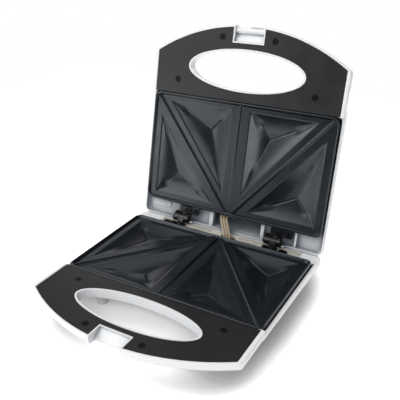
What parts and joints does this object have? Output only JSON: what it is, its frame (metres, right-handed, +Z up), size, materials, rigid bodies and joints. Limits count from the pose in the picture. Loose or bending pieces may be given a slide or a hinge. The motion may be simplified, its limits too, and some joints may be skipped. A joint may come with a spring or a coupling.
{
  "type": "sandwich maker",
  "caption": "Electric sandwich maker standing open: hinged white clam-shell with dark non-stick plates in triangular pockets, oval finger handles and a front latch clip.",
  "frame": {"origin": "on the table under the middle of the open part's bounding box", "axes": "+Z up, +Y from the handle's front towards the hinge and the open lid, +X to the right as seen from the front"},
  "size_m": [0.227, 0.2943, 0.2539],
  "materials": {
    "block_beige": "moulded heat-resistant plastic",
    "clamp_steel": "stamped galvanised strip",
    "cover_cream": "moulded heat-resistant plastic, left in its natural cream",
    "element_steel": "drawn steel tube, heat-dulled",
    "hinge_black": "black gloss lacquer over pressed steel",
    "holder_plastic": "moulded heat-resistant plastic",
    "housing_white": "injection-moulded gloss plastic",
    "lamp_glass": "blown glass with a neon filling",
    "lens_green": "clear green moulding",
    "lens_red": "clear red moulding",
    "nonstick": "die-cast aluminium with a dark speckled non-stick coating",
    "pin_steel": "turned steel, zinc plated",
    "rubber_grey": "moulded light grey rubber",
    "rubber_white": "moulded white rubber",
    "screw_black": "black phosphated steel",
    "screw_cream": "cream lacquer over steel",
    "screw_steel": "zinc-plated steel",
    "sheet_aluminium": "rolled sheet, mill finish",
    "sleeve_beige": "braided glass-fibre sleeving",
    "thermostat_body": "moulded phenolic resin",
    "trim_dark": "moulded with a fine matt grain"
  },
  "bodies": {
    "base": {"base_housing": "housing_white", "base_handle_trim": "trim_dark", "base_trim_screws": "screw_black", "lower_cooking_plate": "nonstick", "lower_plate_screws": "screw_black", "lower_heating_element": "element_steel", "lower_element_terminals": "pin_steel", "lower_element_clamps": "clamp_steel", "lower_clamp_screws": "screw_steel", "lower_heat_reflector": "sheet_aluminium", "wiring_cover": "cover_cream", "wiring_cover_screws": "screw_cream", "feet": "rubber_white", "base_hinge_bracket_left": "hinge_black", "base_hinge_bracket_right": "hinge_black", "base_hinge_screws": "screw_black", "hinge_pin_left": "pin_steel", "hinge_pin_right": "pin_steel", "terminal_block": "block_beige", "cord_gland": "rubber_grey", "wire_sleeves": "sleeve_beige"},
    "lid": {"lid_housing": "housing_white", "lid_handle_trim": "trim_dark", "lid_trim_screws": "screw_black", "upper_cooking_plate": "nonstick", "upper_plate_screws": "screw_black", "upper_heating_element": "element_steel", "upper_element_terminals": "pin_steel", "upper_element_clamps": "clamp_steel", "upper_clamp_screws": "screw_steel", "upper_heat_reflector": "sheet_aluminium", "lid_hinge_bracket_left": "hinge_black", "lid_hinge_bracket_right": "hinge_black", "lid_hinge_screws": "screw_steel", "thermostat": "thermostat_body", "thermostat_strap": "clamp_steel", "thermostat_screws": "screw_steel", "power_lens": "lens_red", "ready_lens": "lens_green", "neon_lamps": "lamp_glass", "lamp_holder": "holder_plastic", "lamp_holder_screws": "screw_steel", "latch_pin": "pin_steel"},
    "latch": {"latch_clip": "housing_white"}
  },
  "joints": [
    {"name": "lid_hinge", "type": "hinge", "parent": "base", "child": "lid", "pos_m": [0, 0.07539, 0.038], "axis": [-1, 0, 0], "range_deg": [-103.5, 0], "deforming": ["wire_sleeves"]},
    {"name": "latch_hinge", "type": "hinge", "parent": "lid", "child": "latch", "pos_m": [0, 0.13054, 0.24844], "axis": [1, 0, 0], "range_deg": [0, 180]}
  ]
}
